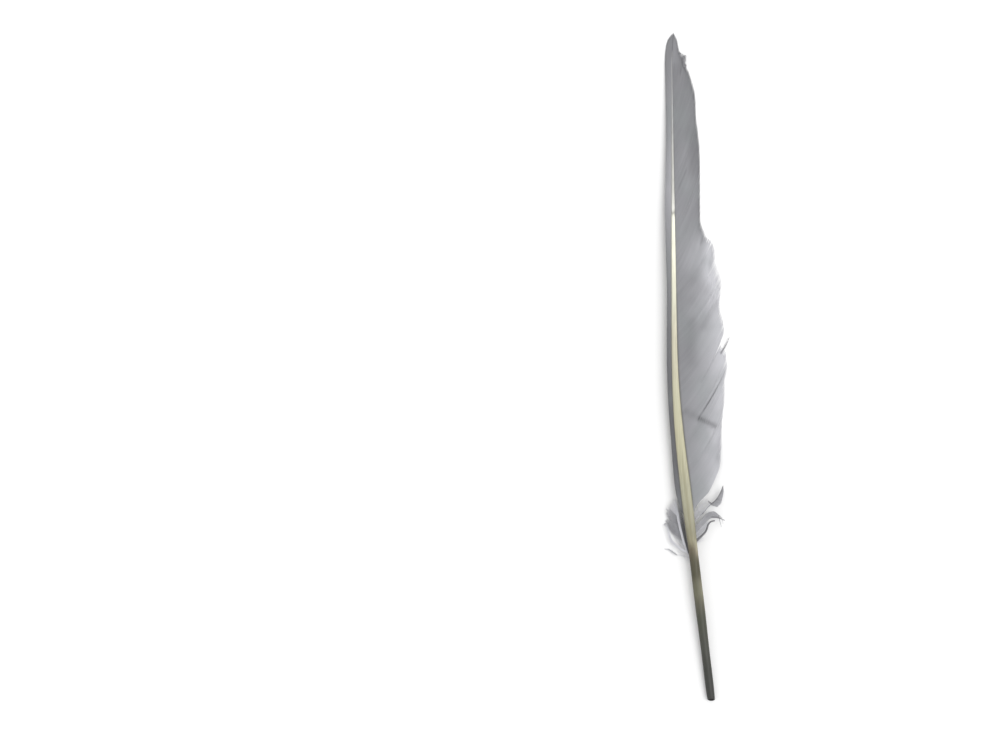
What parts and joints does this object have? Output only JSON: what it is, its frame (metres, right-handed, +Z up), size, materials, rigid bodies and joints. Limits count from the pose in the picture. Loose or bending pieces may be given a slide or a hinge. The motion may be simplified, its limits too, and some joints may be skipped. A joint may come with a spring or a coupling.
{
  "type": "goose quill feather",
  "caption": "Grey goose wing quill with a pale shaft, a narrow leading vane, a wide trailing vane, down and loose barbs at the foot, lying hollow side down.",
  "frame": {"origin": "middle of the feather's length and width, on the table that it lies on", "axes": "+Y along the shaft from the quill's end to the tip, +X towards the wide trailing vane, +Z up from the table, out of the convex side"},
  "size_m": [0.0298, 0.3, 0.0085],
  "materials": {
    "horn": "satin",
    "web": "matte",
    "down": "matte"
  },
  "bodies": {
    "root": {"shaft": "horn", "trailing_vane": "web", "leading_vane": "web", "trailing_down": "down", "leading_down": "down", "upper_loose_barb": "web", "lower_loose_barb": "web", "curled_tip_barbs": "web", "stray_edge_barb": "web"}
  },
  "joints": []
}
